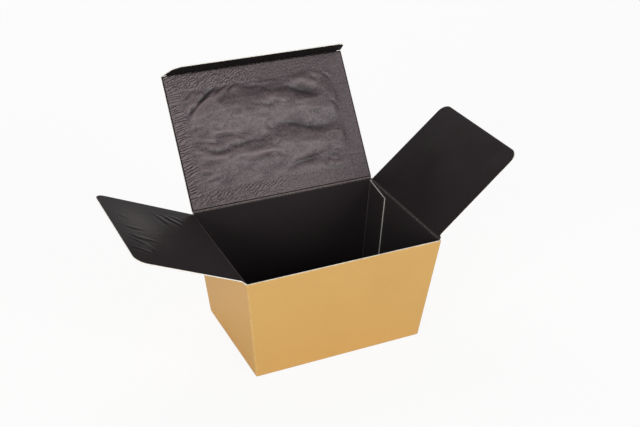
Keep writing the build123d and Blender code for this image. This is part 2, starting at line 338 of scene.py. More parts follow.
def board_shell(outer, inner, wear, crease, joined=None):
    """Closed board between two grids of points, outside and inside. Each face stops a small rounding
    short of the edge, where two more loops lead round the rim; a joined edge, where the sheet goes on in
    the next piece, keeps almost none. Returns points, faces, the finish of each face and the two values
    of each point."""
    rows, cols = outer.shape[:2]
    count = rows * cols
    middle, facing = (outer + inner) / 2, unit(inner - outer)
    turn = np.cross(middle[0, 1] - middle[0, 0], middle[1, 0] - middle[0, 0]) @ facing[0, 0]
    loop = edge_loop(rows, cols)
    line = middle.reshape(-1, 3)[loop]
    way = unit(np.roll(line, -1, 0) - np.roll(line, 1, 0)) * np.sign(turn)
    lift = facing.reshape(-1, 3)[loop]
    out = unit(np.cross(way, lift))
    soft = np.full((len(loop), 1), EDGE_ROUND)
    if joined is not None:
        soft[joined.ravel()[loop]] = JOIN_ROUND
    face_in, face_out = inner.reshape(-1, 3).copy(), outer.reshape(-1, 3).copy()
    rim_in, rim_out = face_in[loop] - lift * soft, face_out[loop] + lift * soft
    face_in[loop] -= out * soft
    face_out[loop] -= out * soft
    points = np.concatenate([face_in, face_out, rim_in, rim_out])
    upper = 2 * count + np.arange(len(loop))
    lower = upper + len(loop)
    quads = grid_faces(rows, cols)
    parts = [quads, quads[:, ::-1] + count, loop_faces(loop, upper), loop_faces(upper, lower),
             loop_faces(lower, loop + count)]
    finish = np.repeat([1, 0, 2, 2, 2], [len(part) for part in parts])
    faces = np.concatenate(parts)
    if turn < 0:
        faces = faces[:, ::-1]
    of_point = np.concatenate([np.arange(count), np.arange(count), loop, loop])
    return points, faces, finish, wear.ravel()[of_point], crease.ravel()[of_point]


def board_piece(name, shells, inside=BLACK):
    """One object from one or more board shells: gold outside, black inside and bare at the cut edges."""
    points, faces, finish, wear, crease = zip(*shells)
    starts = np.cumsum([0] + [len(p) for p in points[:-1]])
    faces = np.concatenate([f + start for f, start in zip(faces, starts)])
    values = {"wear": np.concatenate(wear), "crease": np.concatenate(crease)}
    return put_in_scene(name, np.concatenate(points), faces.tolist(), (GOLD, inside, CUT),
                        np.concatenate(finish), values)


def fold_line(across, along, stops, depth, width, ridge=0.5):
    """A fold along a line of stops: a valley with a bell-shaped section and a softer ridge on one side,
    both fading out at the two ends."""
    stops = np.asarray(stops, float)
    lengths = np.linalg.norm(np.diff(stops, axis=0), axis=1)
    before = np.concatenate([[0], np.cumsum(lengths)])
    near = np.full_like(across, np.inf)
    side, part = np.zeros_like(across), np.zeros_like(across)
    for (x0, s0), (x1, s1), length, done in zip(stops[:-1], stops[1:], lengths, before):
        way_x, way_s = (x1 - x0) / length, (s1 - s0) / length
        run = np.clip((across - x0) * way_x + (along - s0) * way_s, 0, length)
        off_x, off_s = across - x0 - run * way_x, along - s0 - run * way_s
        distance = np.hypot(off_x, off_s)
        closer = distance < near
        near = np.where(closer, distance, near)
        side = np.where(closer, np.sign(way_x * off_s - way_s * off_x) * distance, side)
        part = np.where(closer, (done + run) / before[-1], part)
    fade = np.sin(np.pi * np.clip(part, 0.02, 0.98)) ** 0.6
    section = ridge * bell((side - 1.9 * width) / (1.5 * width)) - bell(near / width)
    return depth * fade * section * (near < 8 * width)


def painted_light_patches(across, along, patches):
    """Sum of soft patches of painted light, with a positive strength, and painted shade, with a negative
    one: each with its place across and along, its width, height and strength.
    """
    total = 0
    for x, s, wide, tall, tone in patches:
        total = total + tone * bell((across - x) / wide) * bell((along - s) / tall)
    return total


def folded_panel(crease_line, along, side, reach, low, high, columns, rub, goes_on=False, wrinkles=(),
                 painted_sheen=()):
    """Panel that leaves a wall at a crease, given as its axis and the directions of the wall and of the
    panel. Along the reach s the middle of the board follows the wall, bends through a curve with its
    corner on the axis between -gap and +gap, and goes on in the panel's direction; across, it runs from
    low(s) to high(s). The inside carries a small bead along the crease and the outside a groove.
    Wrinkles are fold lines that dent the board on both faces, and the painted sheen is soft patches of
    painted reflection added to the rub value."""
    axis, wall_way, panel_way = crease_line
    s = reach[:, None]
    t = np.clip((s / CREASE_GAP + 1) / 2, 0, 1)
    path = np.minimum(s + CREASE_GAP, 0) * wall_way + np.maximum(s - CREASE_GAP, 0) * panel_way
    path = path + CREASE_GAP * (t**2 * panel_way - (1 - t) ** 2 * wall_way)
    tangent = unit((1 - t) * wall_way + t * panel_way)
    facing = (side * np.cross(along, tangent))[:, None, :]
    k = gathered(columns)[None, :]
    across = low[:, None] * (1 - k) + high[:, None] * k
    middle = axis + path[:, None, :] + across[..., None] * along
    for wrinkle in wrinkles:
        middle = middle + fold_line(across, s, *wrinkle)[..., None] * facing
    bump = bell(reach / CREASE_BEAD_WIDTH)[:, None, None]
    inner = middle + facing * (BOARD / 2 + CREASE_BEAD * bump)
    outer = middle - facing * (BOARD / 2 - CREASE_GROOVE * bump)
    edge = np.minimum(across - low[:, None], high[:, None] - across)
    edge = edge if goes_on else np.minimum(edge, reach[-1] - s)
    wear = np.maximum(EDGE_WEAR * bell(edge / WEAR_WIDTH), CREASE_WEAR * bell(s / WEAR_WIDTH))
    crease = np.maximum(EDGE_RUB * bell(edge / EDGE_RUB_WIDTH), rub * bell(s / CREASE_RUB_WIDTH))
    # Patches of painted sheen are added to the rub value here
    crease = crease + painted_light_patches(across, s, painted_sheen)
    joined = np.zeros(across.shape, bool)
    joined[0] = True
    joined[-1] = goes_on
    return board_shell(outer, inner, wear, crease, joined)


def crease_rows(count=9):
    """Rows through a crease."""
    return np.linspace(-CREASE_GAP, CREASE_GAP, count)


def rounded_reach(end, corner, rows, corner_rows=9):
    """Rows along a panel: through the crease, over the flat and round the corners at the free edge."""
    flat = CREASE_GAP + (end - corner - CREASE_GAP) * gathered(rows)[1:-1]
    turn = end - corner + corner * np.sin(np.linspace(0, np.pi / 2, corner_rows))
    return np.concatenate([crease_rows(), flat, turn])


def corner_draw(reach, end, corner):
    """How far a rounded corner draws the edge in: the radius less the height of a quarter circle."""
    rise = np.clip(reach - (end - corner), 0, corner)
    return corner - np.sqrt(np.maximum(corner**2 - rise**2, 0))


# Lid and tuck

LID_WAY = direction_yz(LID_ANGLE)
LID_FACING = np.cross(ALONG_X, LID_WAY)
LID_AXIS = np.array([0.0, half_depth(LID_CREASE_HEIGHT) - BOARD / 2, LID_CREASE_HEIGHT])
BACK_WALL_WAY = unit(np.array([0.0, (TOP_DEPTH - BASE_DEPTH) / 2, LID_CREASE_HEIGHT]))
TUCK_WAY = direction_yz(LID_ANGLE + TUCK_FOLD)
TUCK_AXIS = LID_AXIS + LID_LENGTH * LID_WAY


def lid_board():
    """Lid panel with the crease that joins it to the back wall."""
    flat = CREASE_GAP + (LID_LENGTH - 2 * CREASE_GAP) * gathered(40)[1:]
    reach = np.concatenate([crease_rows(), flat])
    half = LID_HALF_WIDTH - LID_ROOT_INSET * (1 - ease(-CREASE_GAP, CREASE_GAP, reach))
    crease_line = (LID_AXIS, BACK_WALL_WAY, LID_WAY)
    panel = folded_panel(crease_line, ALONG_X, 1, reach, -half, half, 72, LID_RUB, goes_on=True)
    return board_piece("lid_board", [panel])


def tuck_board():
    """Tuck flap with the crease that joins it to the lid: a slot at each end of the root, then straight
    ends that run in to the rounded corners."""
    outline = [
        (-CREASE_GAP, 0.0),
        (TUCK_SLOT_START, TUCK_ROOT_INSET),
        (TUCK_SLOT_START + TUCK_SLOT_IN, TUCK_SLOT_INSET),
        (TUCK_SLOT_END - TUCK_SLOT_OUT, TUCK_SLOT_INSET),
        (TUCK_SLOT_END, TUCK_SHOULDER_INSET),
        (TUCK_LENGTH, TUCK_END_INSET),
    ]
    stops, insets = zip(*outline)
    reach = np.unique(np.concatenate([rounded_reach(TUCK_LENGTH, TUCK_CORNER, 18), stops]))
    half = LID_HALF_WIDTH - np.interp(reach, stops, insets) - corner_draw(reach, TUCK_LENGTH, TUCK_CORNER)
    crease_line = (TUCK_AXIS, LID_WAY, TUCK_WAY)
    panel = folded_panel(crease_line, ALONG_X, 1, reach, -half, half, 64, TUCK_RUB)
    # The tuck uses the copy of the black board that is painted darker
    return board_piece("tuck_board", [panel], DULL_PAINTED_DARKER_BLACK)


# Dust flaps

SIDE_AXIS_X = half_width(SIDE_CREASE_HEIGHT) - BOARD / 2
SIDE_CREASE_HALF_LENGTH = half_depth(SIDE_CREASE_HEIGHT) - FOLD_RADIUS

# Wrinkles of the left flap: stops across and along it, depth, width and the share of the ridge beside it
LEFT_FLAP_WRINKLES = [
    ([(3.4, 51.5), (1.3, 46.8), (2.0, 40.5)], 0.20, 0.9, 1.1),
    ([(-6.7, 51.5), (-8.8, 47.6), (-10.1, 38.5)], 0.26, 0.9, 1.1),
    ([(-11.3, 51.6), (-15.0, 47.6), (-22.0, 43.8)], 0.22, 1.0, 1.1),
    ([(-20.6, 54.6), (-22.5, 50.0), (-24.5, 45.5)], 0.14, 0.8, 1.1),
    ([(26.6, 28.9), (20.3, 26.1), (14.7, 23.6)], 0.20, 1.0, 1.1),
    ([(27.2, 23.7), (22.1, 19.7), (17.3, 15.2)], 0.24, 0.9, 1.1),
    ([(27.3, 19.5), (25.8, 15.0), (22.9, 12.2)], 0.14, 0.8, 1.1),
    ([(15.3, 51.5), (13.0, 46.5)], 0.12, 0.9, 1.1),
]
# Painted sheen of the left flap, a soft lighter patch added to its rub value: place across and along it,
# width, height and strength
LEFT_FLAP_PAINTED_SHEEN = [(12, 41, 18, 10, 0.2)]


def side_crease(side, angle):
    """Crease of a side wall and its dust flap: the axis and the directions of the wall and the flap."""
    axis = np.array([side * SIDE_AXIS_X, 0.0, SIDE_CREASE_HEIGHT])
    wall_way = unit(np.array([side * (TOP_WIDTH - BASE_WIDTH) / 2, 0.0, LID_CREASE_HEIGHT]))
    return axis, wall_way, direction_xz(angle if side > 0 else 180 - angle)


def dust_flap_board(name, side, angle, length, rub, rows=34, columns=56, wrinkles=(), painted_sheen=()):
    """Dust flap with the crease that joins it to its side wall: a shoulder at the front, which rises as
    a quarter of an ellipse, and two rounded corners."""
    shoulder = np.linspace(SHOULDER_START, SHOULDER_END, 7)
    reach = np.unique(np.concatenate([rounded_reach(length, FLAP_CORNER, rows), shoulder]))
    root = SIDE_CREASE_HALF_LENGTH - FLAP_ROOT_INSET * ease(-CREASE_GAP, CREASE_GAP, reach)
    draw = corner_draw(reach, length, FLAP_CORNER)
    share = np.clip(reach / length, 0, 1)
    back = root - FLAP_BACK_TAPER * share - draw
    turn = np.clip((SHOULDER_END - reach) / (SHOULDER_END - SHOULDER_START), 0, 1)
    step = SHOULDER_STEP * np.where(reach < SHOULDER_START, 0, np.sqrt(1 - turn**2))
    front = -root + step + FLAP_FRONT_TAPER * share + draw
    panel = folded_panel(side_crease(side, angle), ALONG_Y, -side, reach, front, back, columns, rub,
                         wrinkles=wrinkles, painted_sheen=painted_sheen)
    return board_piece(name, [panel])


# Carton


def wall_path():
    """Path round the carton's corners: the place of each point across and along, from -1 to 1, and the
    outward direction as an angle. It starts at the right wall's cut edge, just short of the back fold,
    goes round by the front, left and back walls and ends past that fold."""
    run = gathered(40)
    forward = 2 * run - 1
    last_bow = np.linspace(0, np.pi / 2, 8)[1:]
    bow = last_bow[:-1]
    stretches = [
        (1, SEAM_START - (1 + SEAM_START) * run, 0),
        (1, -1, -bow),
        (-forward, -1, -np.pi / 2),
        (-1, -1, -np.pi / 2 - bow),
        (-1, forward, -np.pi),
        (-1, 1, np.pi - bow),
        (forward, 1, np.pi / 2),
        (1, 1, np.pi / 2 - last_bow),
        (1, 1, np.zeros(1)),
    ]
    return np.concatenate([np.stack(np.broadcast_arrays(*stretch)) for stretch in stretches], axis=1)


def carton_walls():
    """The four walls as one bent strip: along a path round a rounded rectangle, a profile leads down the
    wall, round the base fold and a little way under the base."""
    place_x, place_y, turn = wall_path()
    aim_x, aim_y = np.cos(turn), np.sin(turn)
    push = np.zeros(len(turn))
    push[-1] = -SEAM_OVERLAP
    at_corner = 0.9999
    in_bow = ((np.abs(place_x) > at_corner) & (np.abs(place_y) > at_corner))[:, None]
    # The walls end at three heights: the side creases, the front's cut edge and the back crease
    on_side = (np.abs(aim_x) > 0.999) & (np.abs(place_y) < at_corner)
    top = np.select([on_side, place_y < -at_corner], [SIDE_CREASE_HEIGHT - CREASE_GAP, FRONT_WALL_TOP],
                    LID_CREASE_HEIGHT - CREASE_GAP)[:, None]
    down = 1 - gathered(30)
    bend = np.linspace(0, np.pi / 2, 8)[1:]

    def layer(depth):
        """Points of the sheet at a depth below its outside."""
        radius = BASE_FOLD_RADIUS - depth
        low = np.append(depth + radius * (1 - np.sin(bend)), depth)
        inset = np.concatenate([np.full(len(down), depth), depth + radius * (1 - np.cos(bend)), [BASE_LIP]])
        wall_z = BASE_FOLD_RADIUS + (top - BASE_FOLD_RADIUS) * down
        z = np.concatenate([wall_z, np.broadcast_to(low, (len(top), len(low)))], axis=1)
        fold = np.maximum(FOLD_RADIUS - inset, LEAST_FOLD_RADIUS)
        x = place_x[:, None] * (half_width(z) - inset - fold) + aim_x[:, None] * fold
        y = place_y[:, None] * (half_depth(z) - inset - fold) + aim_y[:, None] * fold + push[:, None]
        return np.stack([x, y, z], -1)

    outer, inner = layer(0.0), layer(BOARD)
    height, below_top = outer[..., 2], top - outer[..., 2]
    from_base_fold = height - BASE_FOLD_RADIUS / 2
    wear = np.maximum(FOLD_WEAR * in_bow, BASE_FOLD_WEAR * bell(from_base_fold / WEAR_WIDTH))
    wear = np.maximum(wear, WALL_TOP_WEAR * bell(below_top / WALL_TOP_WIDTH))
    crease = np.maximum(FOLD_RUB * in_bow, WALL_TOP_RUB * bell(below_top / WALL_TOP_RUB_WIDTH))
    joined = np.zeros(wear.shape, bool)
    joined[:, 0] = aim_y > -0.5
    joined[:, -1] = True
    return board_shell(outer, inner, wear, crease, joined)


def flat_shell(x, low, high, z, columns=24):
    """Flat board on a level: rows along x, columns from low(x) to high(x); its outside looks down."""
    k = gathered(columns)[None, :]
    y = low[:, None] * (1 - k) + high[:, None] * k
    under = np.stack(np.broadcast_arrays(x[:, None], y, z), -1)
    from_side = np.minimum(y - low[:, None], high[:, None] - y)
    from_end = np.minimum(x - x[0], x[-1] - x)[:, None]
    wear = FLAP_EDGE_WEAR * bell(np.minimum(from_side, from_end) / WEAR_WIDTH)
    return board_shell(under, under + np.array([0, 0, BOARD]), wear, BASE_RUB_SHARE * wear)


def base_flaps():
    """Base of four flaps: two major ones that meet at a seam with a slanted step, two minor ones on top
    of them, and the lap of the major ones between the minor ones."""
    side, deep = half_width(0) - BASE_LIP, half_depth(0) - BASE_LIP
    at_step = (BASE_LAP_RUN + 3 * BASE_LAP_EASE) * np.linspace(-1, 1, 40)
    x = np.unique(np.concatenate([side * (2 * gathered(40) - 1), at_step]))
    seam = BASE_LAP * (1 - 2 * ease(-BASE_LAP_RUN - BASE_LAP_EASE, BASE_LAP_RUN + BASE_LAP_EASE, x))
    edge = np.full_like(x, deep)
    shells = [flat_shell(x, -edge, seam - BASE_SEAM, 0.0), flat_shell(x, seam + BASE_SEAM, edge, 0.0)]
    floor_side, floor_deep = half_width(BOARD) - BOARD / 2, half_depth(BOARD) - BOARD - MINOR_FLAP_GAP
    end = floor_side - MINOR_FLAP_REACH
    x = np.unique(np.append(end + MINOR_FLAP_REACH * gathered(30), end + MINOR_FLAP_CUT))
    high = floor_deep - np.maximum(MINOR_FLAP_CUT - (x - end), 0)
    low = -floor_deep + MINOR_FLAP_TAPER * (1 - (x - end) / MINOR_FLAP_REACH)
    shells.append(flat_shell(x, low, high, BOARD))
    shells.append(flat_shell(-x[::-1], -high[::-1], -low[::-1], BOARD))
    x = (end - MINOR_FLAP_GAP) * (2 * gathered(16) - 1)
    edge = np.full_like(x, BASE_LAP)
    shells.append(flat_shell(x, -edge, edge, BOARD))
    return shells


def glue_flap():
    """Glue flap stuck inside the right wall: rows along the wall from the back fold, columns up the wall
    between two slanted ends, one board in from the wall's inside."""
    lean = np.arctan2((TOP_WIDTH - BASE_WIDTH) / 2, LID_CREASE_HEIGHT)
    into = np.array([-np.cos(lean), 0, np.sin(lean)])
    out = GLUE_FLAP_WIDTH * gathered(24)
    share = out / GLUE_FLAP_WIDTH
    top = (SIDE_CREASE_HEIGHT - CREASE_GAP - GLUE_FLAP_DROP - GLUE_FLAP_TOP_SLANT * share)[:, None]
    foot = (BOARD + GLUE_FLAP_FOOT + GLUE_FLAP_FOOT_SLANT * share)[:, None]
    k = gathered(40)[None, :]
    z = foot * (1 - k) + top * k
    wall = np.stack([half_width(z), half_depth(z) - BOARD - out[:, None], z], -1)
    edge = np.minimum(np.minimum(z - foot, top - z), (out[-1] - out)[:, None])
    wear = FLAP_EDGE_WEAR * bell(edge / WEAR_WIDTH)
    crease = np.maximum(GLUE_RUB_SHARE * wear, GLUE_FOLD_RUB * bell(out / GLUE_FOLD_RUB_WIDTH)[:, None])
    outer, inner = (wall + lift * BOARD * into for lift in (GLUE_FLAP_LIFT, GLUE_FLAP_LIFT + 1))
    return board_shell(outer, inner, wear, crease)


# Cushion pad: x runs across the lid and s along it, from its crease

PAD_HALF_WIDTH, PAD_START, PAD_END, PAD_STEP = 53.9, 0.9, 75.5, 0.29
PILLOW_LEFT, PILLOW_RIGHT, PILLOW_LOW, PILLOW_HIGH = -46.4, 45.0, 9.3, 67.1
LEFT_SLOPE, RIGHT_SLOPE, LOW_SLOPE, HIGH_SLOPE = 20, 13, 15, 13
PAD_SHEET, PAD_LEAST_HEIGHT, PAD_GLUE = 0.25, 0.05, 0.01
PILLOW_RISE, LONG_WAVE, SHORT_WAVE, SHORT_WAVE_LENGTH = 1.7, 1.15, 0.2, 34
LONG_WAVE_STOPS = [-2, 10, 22, 34, 46, 61, 72, 84]
EDGE_CLEARANCE, CLEARANCE_SLOPE = 0.30, 0.1045
FOLD_SCALE = 1.6
FINE_FOLDS = 45
GATHER_HEIGHT, GATHER_FLOOR = 0.58, 0.06
LOW_WRINKLE, LOW_WRINKLE_PITCH, HIGH_WRINKLE, HIGH_WRINKLE_PITCH = 0.46, 1.95, 0.32, 1.8
CELL_HEIGHT, DOT_HEIGHT, DOT_WIDTH, DOT_PITCH = 0.07, 0.12, 0.45, 1.9

# Main folds of the pillow: stops across and along the lid, depth, width and the share of the ridge beside it
PAD_FOLDS = [
    ([(-22.5, 68.6), (-34.8, 60.0), (-50.0, 48.6)], 0.85, 1.5, 0.7),
    ([(-18.0, 67.4), (-24.0, 64.4), (-30.0, 60.0)], 0.42, 1.0, 0.6),
    ([(-13.0, 67.6), (-19.5, 63.2)], 0.36, 0.9, 0.6),
    ([(-45.6, 67.0), (-47.6, 63.4)], 0.28, 0.8, 0.5),
    ([(-39.0, 66.0), (-46.0, 60.5)], 0.22, 0.9, 0.5),
    ([(-12.0, 64.2), (2.0, 62.6), (17.0, 63.8)], 0.42, 2.0, 0.3),
    ([(22.0, 59.6), (35.0, 55.4)], 0.36, 1.8, 0.4),
    ([(-8.0, 58.2), (0.6, 60.4), (10.7, 59.8), (19.0, 58.6), (30.0, 53.9), (39.5, 51.0)], 0.62, 2.6, 0.5),
    ([(38.0, 67.0), (44.2, 60.0)], 0.5, 0.9, 0.7),
    ([(30.0, 66.0), (36.0, 60.0)], 0.3, 1.6, 0.6),
    ([(40.0, 48.2), (43.2, 46.2), (45.2, 42.8)], 0.42, 0.9, 0.6),
    ([(1.0, 39.0), (15.6, 38.6), (25.1, 35.0), (44.0, 32.4)], 0.55, 2.4, 0.5),
    ([(-47.0, 35.6), (-38.0, 31.6), (-33.0, 29.6), (-24.0, 31.0), (-12.0, 33.0), (-2.0, 32.4)],
     0.46, 1.9, 0.5),
    ([(-46.0, 37.6), (-31.5, 34.6)], 0.3, 1.0, 0.5),
    ([(-33.0, 38.6), (-21.0, 38.4)], 0.34, 1.2, 0.5),
    ([(-44.5, 25.5), (-38.0, 24.4), (-30.0, 24.9), (-22.0, 27.8)], 0.36, 1.3, 0.5),
    ([(6.0, 13.6), (13.1, 16.4), (20.6, 17.0), (33.0, 19.2)], 0.45, 1.7, 0.5),
    ([(-48.0, 43.6), (-38.0, 44.8)], 0.3, 1.0, 0.5),
    ([(-47.5, 30.3), (-41.0, 29.6)], 0.26, 0.9, 0.5),
    ([(-46.5, 20.0), (-39.0, 18.6)], 0.26, 0.9, 0.5),
    ([(-44.0, 14.6), (-34.0, 16.2)], 0.26, 1.0, 0.5),
    ([(-2.0, 50.6), (9.0, 52.6)], 0.3, 1.6, 0.5),
    ([(24.0, 44.0), (34.0, 42.6)], 0.3, 1.6, 0.5),
    ([(-20.0, 20.0), (-6.0, 22.4), (4.0, 21.4)], 0.3, 1.8, 0.5),
    ([(45.6, 33.6), (44.4, 20.4)], 0.2, 0.6, 0.5),
    ([(39.0, 16.0), (50.2, 14.7)], 0.16, 0.55, 0.5),
]

# Broad patches of painted light and painted shade on the pillow: place across and along the lid, width,
# height and strength
PAD_PAINTED_LIGHT_AND_SHADE = [
    (34, 62.5, 5, 4, 0.25),
    (-16, 42, 20, 7, 0.18),
    (-2, 22, 18, 4, 0.14),
    (12, 46, 9, 5, 0.12),
    (0, 34, 5, 4, 0.12),
    (8, 61, 12, 4, -0.07),
    (30, 52, 11, 4, -0.08),
    (-32, 58, 6, 4, -0.08),
    (34, 28, 6, 4, -0.05),
]


def smoothed(field, size_s, size_x=None):
    """A field with its fine waves damped by a bell over their frequency, so that what is left is about
    as long as the two sizes in millimetres, along the lid and across it."""
    along = np.fft.fftfreq(field.shape[0], PAD_STEP)[:, None] * size_s
    across = np.fft.rfftfreq(field.shape[1], PAD_STEP)[None, :] * (size_x or size_s)
    return np.fft.irfft2(np.fft.rfft2(field) * bell(along) * bell(across), field.shape)


def wander(shape, size_s, size_x, seed):
    """Smooth random field of unit spread from seeded noise."""
    field = smoothed(np.random.default_rng(seed).standard_normal(shape), size_s, size_x)
    return field / field.std()


def puffs(shape, size_s, size_x, seed):
    """Soft puffs with sharp valleys between: the size of a smooth random field, whatever its sign."""
    return np.sqrt(wander(shape, size_s, size_x, seed) ** 2 + 0.01)


def pleats(phase, groove):
    """Rounded ridges, one to each turn of the phase, with narrow grooves between them: one less a bell
    of the distance to the nearest whole number."""
    return 1 - bell((phase - np.round(phase)) / groove)


def long_waves(x, s):
    """Waves along the lid from -1 to 1: a sine with half a turn between one stop and the next, its stops
    moved along the lid by bells across it."""
    shift = 5.0 * bell((x + 9) / 11) * (1 - ease(50, 58, s))
    shift += 5.0 * bell((x + 30) / 9) * (1 - ease(34, 42, s))
    shift += (3.5 + 4.0 * ease(46, 54, s)) * bell((x - 29) / 12)
    shift -= 1.5 * bell((x - 7) / 7)
    half_turns = np.arange(len(LONG_WAVE_STOPS)) - 2
    return np.sin(np.pi * np.interp(s + shift * ease(23, 29, s), LONG_WAVE_STOPS, half_turns))


def fine_folds(x, s):
    """Short seeded folds all over the pillow, most of them across the lid, each bent at its middle."""
    pick = np.random.default_rng(41)
    total = np.zeros_like(x)
    for _ in range(FINE_FOLDS):
        start_x = pick.uniform(PILLOW_LEFT + 2, PILLOW_RIGHT - 6)
        start = np.array([start_x, pick.uniform(PILLOW_LOW + 2, PILLOW_HIGH - 2)])
        turn, length = pick.normal(0.12, 0.4), pick.uniform(4, 13)
        bend = pick.normal(0, 0.35)
        middle = start + 0.5 * length * np.array([np.cos(turn + bend), np.sin(turn + bend)])
        end = middle + 0.5 * length * np.array([np.cos(turn - bend), np.sin(turn - bend)])
        total += fold_line(x, s, [start, middle, end], pick.uniform(0.06, 0.2), pick.uniform(0.8, 1.6))
    return total


def rumple(x, s):
    """Soft unevenness of the pillow: a broad swell, with puffs and fine folds that come and go on it."""
    patchy = np.clip(0.75 + 0.35 * wander(x.shape, 12, 12, seed=6), 0.2, 1.4)
    fine = 0.15 * puffs(x.shape, 6.0, 9.0, seed=5) + 0.03 * puffs(x.shape, 2.2, 3.4, seed=9)
    return 0.2 * wander(x.shape, 9.0, 15.0, seed=3) + patchy * (fine + fine_folds(x, s))


def left_gathers(x, s, clear):
    """Gathers along the left border, nearly at right angles to the edge and closer together towards the
    tuck: their share of the height and their own height."""
    along_edge = s + 0.45 * wander(x.shape, 4.0, 11.0, seed=23) - 0.22 * (x + 50)
    ridges = pleats(0.52 * along_edge + 0.0009 * along_edge**2, 0.21)
    lively = np.clip(0.85 + 0.4 * wander(x.shape, 5.0, 5.0, seed=29), 0.3, 1.2)
    inner_end = np.clip(-45.6 + 2.6 * wander(x.shape, 1.6, 40.0, seed=13), -50, -40.5)
    share = (1 - ease(-51.5, inner_end, x)) * ease(2, 8, s) * (1 - 0.4 * ease(50, 66, s))
    return share, GATHER_FLOOR + np.minimum(clear - 0.08, GATHER_HEIGHT * lively) * ridges


def slanting_wrinkles(x, s, low_band, high_band):
    """Fine slanting wrinkles of the lower and upper borders, strongest at the left."""
    slant = s - 0.64 * x + 0.45 * wander(x.shape, 3.0, 5.0, seed=11)
    patchy = np.clip(0.7 + 0.5 * wander(x.shape, 2.5, 3.0, seed=19), 0, 1)
    at_left = (1 - ease(-20, 14, x)) * ease(-53, -47, x) * patchy
    low = LOW_WRINKLE * pleats(slant / LOW_WRINKLE_PITCH, 0.22) * low_band
    high = HIGH_WRINKLE * pleats(slant / HIGH_WRINKLE_PITCH, 0.23) * high_band
    return at_left * (low + high)


def pad_height(x, s):
    """Height of the pad over the lid, and how strongly the border is crimped: a flat border sheet, a
    pillow that swells up from its edges, long waves, main folds and rumple, then the gathers, slanting
    wrinkles and cells of the crimped border and the dotted line where it is pressed to the pillow. The
    height stays under a slope that clears the dust flaps when the lid is closed."""
    stray_x = 0.35 * wander(x.shape, 9, 9, seed=21)
    stray_s = 0.3 * wander(x.shape, 9, 9, seed=22)
    left, right = x + stray_x - PILLOW_LEFT, PILLOW_RIGHT - x - stray_x
    low, high = s + stray_s - PILLOW_LOW, PILLOW_HIGH - s - stray_s
    from_side, from_end = np.minimum(left, right), np.minimum(low, high)
    from_edge = np.minimum(from_side, from_end)
    inside = ease(-0.5, 4.0, from_edge)
    clear = EDGE_CLEARANCE + CLEARANCE_SLOPE * (SIDE_AXIS_X - np.abs(x))
    dome = swell(left, LEFT_SLOPE) * swell(right, RIGHT_SLOPE)
    dome = dome * swell(low, LOW_SLOPE) * swell(high, HIGH_SLOPE)
    short_waves = np.sin(2 * np.pi * (x - 0.4 * s) / SHORT_WAVE_LENGTH)
    height = PAD_SHEET + dome * (PILLOW_RISE + LONG_WAVE * long_waves(x, s) + SHORT_WAVE * short_waves)
    main_folds = FOLD_SCALE * sum(fold_line(x, s, *fold) for fold in PAD_FOLDS)
    height += main_folds * np.maximum(inside, 0.25) + inside * rumple(x, s)
    share, gathers = left_gathers(x, s, clear)
    height += share * (gathers - height)
    low_band = (1 - ease(8.5, 12.0, s)) * ease(0.9, 2.2, s)
    high_band = ease(65.5, 67.5, s) * (1 - ease(73.5, 75.5, s))
    height += slanting_wrinkles(x, s, low_band, high_band)
    border = (1 - ease(-1.0, 2.0, from_edge)) * (1 - 0.65 * ease(-10, 46, x) * (1 - high_band))
    height += CELL_HEIGHT * border * puffs(x.shape, 0.75, 1.3, seed=17)
    dots = 0.5 + 0.5 * np.cos(2 * np.pi * np.where(from_end < from_side, x, s) / DOT_PITCH)
    height += DOT_HEIGHT * bell(from_edge / DOT_WIDTH) * dots
    return np.clip(height, PAD_LEAST_HEIGHT, clear), border


def paint_fold_light_and_shade(x, s, height, border):
    """Painted light and shade of the pad, from 0 to 1 with 0.5 as plain: a painted highlight where the
    height stands over its own smoothed copies and painted shade where it sinks under them, most on the
    crimped border, then painted light towards the left and the crease, painted shade towards the right, and
    broad painted patches."""
    # Painted highlight on ridges and painted shade in hollows, then painted light to the left and towards
    # the crease and painted shade to the right
    fine, middling, broad = (height - smoothed(height, size) for size in (1.0, 3.5, 12.0))
    crimp = border * (7.0 + 3.5 * (1 - ease(-48, -40, x)))
    tone = 0.5 + (2.2 + crimp) * fine + 0.6 * middling + 0.4 * broad + 0.06 * border
    tone += 0.10 * (1 - ease(-46, 14, x)) - 0.07 * ease(20, 47, x) + 0.08 * (1 - ease(6, 44, s))
    return np.clip(tone + painted_light_patches(x, s, PAD_PAINTED_LIGHT_AND_SHADE), 0, 1)


def cushion_pad():
    """Pad on the lid: a height over the lid's face on a grid, a rim down to the lid and a flat back."""
    cols = int(round(2 * PAD_HALF_WIDTH / PAD_STEP)) + 1
    rows = int(round((PAD_END - PAD_START) / PAD_STEP)) + 1
    count = rows * cols
    across, along = np.linspace(-PAD_HALF_WIDTH, PAD_HALF_WIDTH, cols), np.linspace(PAD_START, PAD_END, rows)
    s, x = np.meshgrid(along, across, indexing="ij")
    height, border = pad_height(x, s)
    back = LID_AXIS + x[..., None] * ALONG_X + s[..., None] * LID_WAY + (BOARD / 2 + PAD_GLUE) * LID_FACING
    top = back + height[..., None] * LID_FACING
    loop = edge_loop(rows, cols)
    foot = count + np.arange(len(loop))
    points = np.concatenate([top.reshape(-1, 3), back.reshape(-1, 3)[loop]])
    faces = np.concatenate([grid_faces(rows, cols), loop_faces(loop, foot)]).tolist() + [foot[::-1].tolist()]
    at_foot = np.zeros(len(loop))
    # The pad's painted light and shade goes to the shader as a value of each point
    values = {
        "painted_light_and_shade": np.append(paint_fold_light_and_shade(x, s, height, border), at_foot),
        "border": np.append(border, at_foot),
    }
    return put_in_scene("cushion_pad_paper", points, faces, (PAD,), np.zeros(len(faces)), values)


# Pieces, with the carton and the pad on their bodies

